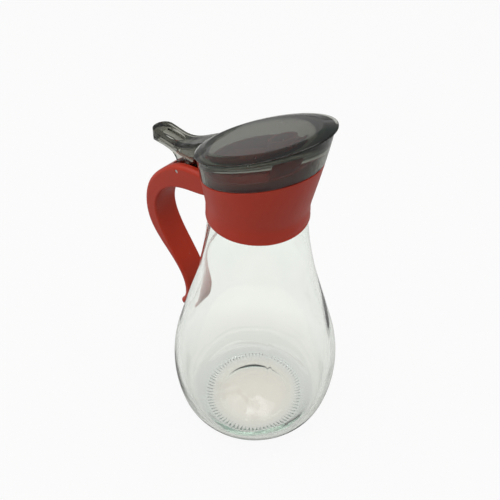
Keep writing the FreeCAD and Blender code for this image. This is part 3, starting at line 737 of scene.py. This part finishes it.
class OILBOTTLE_OT_collar(Operator):
    """Give the collar with its handle, and the pour insert, their satin red plastic"""
    bl_idname = "oilbottle.collar"
    bl_label = "Collar, handle and insert"

    def execute(self, context):
        red = tuple(context.scene.oil_bottle.red)
        assign(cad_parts["collar_handle"], red_material("satin_red", red))
        assign(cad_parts["pour_insert"], red_material("insert_red", red, peel_scale=700.0))
        return {"FINISHED"}


class OILBOTTLE_OT_lid(Operator):
    """Give the lid its see-through smoke-grey plastic"""
    bl_idname = "oilbottle.lid"
    bl_label = "Lid and lever"

    def execute(self, context):
        assign(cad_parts["lid"], smoke_material(context.scene.oil_bottle))
        return {"FINISHED"}


class OILBOTTLE_OT_fittings(Operator):
    """Give the hinge pin, the spring and the neck gasket their materials"""
    bl_idname = "oilbottle.fittings"
    bl_label = "Pin, spring and gasket"

    def execute(self, context):
        assign(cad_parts["hinge_pin"], steel_material("pin_steel", PIN_STEEL, 300.0))
        assign(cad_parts["torsion_spring"], steel_material("spring_steel", SPRING_STEEL, 500.0))
        assign(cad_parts["neck_gasket"], silicone_material())
        return {"FINISHED"}


# ---------------------------------------------------------------- stage


def add_camera():
    """The camera at the photograph's place, square to its forward and right directions."""
    forward = CAMERA_FORWARD.normalized()
    right = (CAMERA_RIGHT - forward * CAMERA_RIGHT.dot(forward)).normalized()
    up = right.cross(forward)
    data = bpy.data.cameras.new("camera")
    data.lens = LENS_MM
    data.sensor_width = SENSOR_MM
    data.sensor_fit = "HORIZONTAL"
    camera = bpy.data.objects.new("camera", data)
    axes = Matrix((right, up, -forward)).transposed().to_4x4()
    camera.matrix_world = Matrix.Translation(CAMERA_PLACE) @ axes
    bpy.context.scene.collection.objects.link(camera)
    bpy.context.scene.camera = camera


def add_lamp(name, place, size, power):
    """A square soft lamp that faces LAMP_TARGET."""
    data = bpy.data.lights.new(name, "AREA")
    data.size = size
    data.energy = power
    lamp = bpy.data.objects.new(name, data)
    lamp.location = place
    lamp.rotation_euler = (Vector(LAMP_TARGET) - Vector(place)).to_track_quat("-Z", "Y").to_euler()
    bpy.context.scene.collection.objects.link(lamp)


def add_world():
    """White seen directly; else a studio by height, with one tone for its light and one through glass."""
    world = bpy.data.worlds.new("studio")
    bpy.context.scene.world = world
    world.use_nodes = True
    tree = world.node_tree
    split = node(tree, "ShaderNodeSeparateXYZ")
    plug(tree, (node(tree, "ShaderNodeTexCoord").outputs["Generated"], split.inputs[0]))
    height = map_range(tree, split.outputs["Z"], -1.0, 1.0)
    rays = node(tree, "ShaderNodeLightPath").outputs
    light, through = (color_ramp(tree, height, [((level + 1) / 2, color) for level, color in stops])
                      for stops in (SKY, SKY_THROUGH))
    bent = mix_color(tree, rays["Is Transmission Ray"], light, through)
    seen = mix_color(tree, rays["Is Camera Ray"], bent, WHITE)
    plug(tree, (seen, tree.nodes["Background"].inputs["Color"]))


def add_floor(settings):
    """A flat disc: rings of growing radius in the plane that the bottle stands on."""
    angle = np.linspace(0, 2 * math.pi, FLOOR_COLUMNS, endpoint=False)
    radius = np.array(FLOOR_RINGS)[:, None]
    level = np.full((len(FLOOR_RINGS), FLOOR_COLUMNS), FLOOR_Z)
    rings = np.stack([radius * np.cos(angle), radius * np.sin(angle), level], -1)
    points = np.concatenate([rings.reshape(-1, 3), [[0.0, 0.0, FLOOR_Z]]])
    c = np.arange(FLOOR_COLUMNS)
    fan = np.stack([np.full(FLOOR_COLUMNS, len(points) - 1), c, (c + 1) % FLOOR_COLUMNS], -1)
    floor = mesh_piece("floor", points, [ring_faces(len(FLOOR_RINGS), FLOOR_COLUMNS)[:, ::-1], fan])
    assign(floor, floor_material(settings))


class OILBOTTLE_OT_stage(Operator):
    """Set up the camera, the soft light and the plain white floor"""
    bl_idname = "oilbottle.stage"
    bl_label = "Stage"

    def execute(self, context):
        settings = context.scene.oil_bottle
        add_camera()
        add_world()
        add_floor(settings)
        for name, place, size in LAMPS:
            add_lamp(name, place, size, settings.lamp_power)
        context.scene.view_settings.view_transform = "Standard"
        return {"FINISHED"}


# ---------------------------------------------------------------- panel and running


STEPS = (OILBOTTLE_OT_stage, OILBOTTLE_OT_glass, OILBOTTLE_OT_collar, OILBOTTLE_OT_lid, OILBOTTLE_OT_fittings)


class OILBOTTLE_PT_panel(Panel):
    """Lists the bottle's sizes, colours and build steps"""
    bl_label = "Oil bottle"
    bl_idname = "OILBOTTLE_PT_panel"
    bl_space_type = "VIEW_3D"
    bl_region_type = "UI"
    bl_category = "Oil bottle"

    def draw(self, context):
        column = self.layout.column()
        for name in BottleSettings.__annotations__:
            column.prop(context.scene.oil_bottle, name)
        for step in STEPS:
            column.operator(step.bl_idname)


CLASSES = (BottleSettings, *STEPS, OILBOTTLE_PT_panel)


def register():
    for item in CLASSES:
        bpy.utils.register_class(item)
    bpy.types.Scene.oil_bottle = PointerProperty(type=BottleSettings)


def unregister():
    del bpy.types.Scene.oil_bottle
    for item in reversed(CLASSES):
        bpy.utils.unregister_class(item)


def main():
    register()
    for step in STEPS:
        group, name = step.bl_idname.split(".")
        getattr(getattr(bpy.ops, group), name)()


if __name__ == "__main__":
    main()
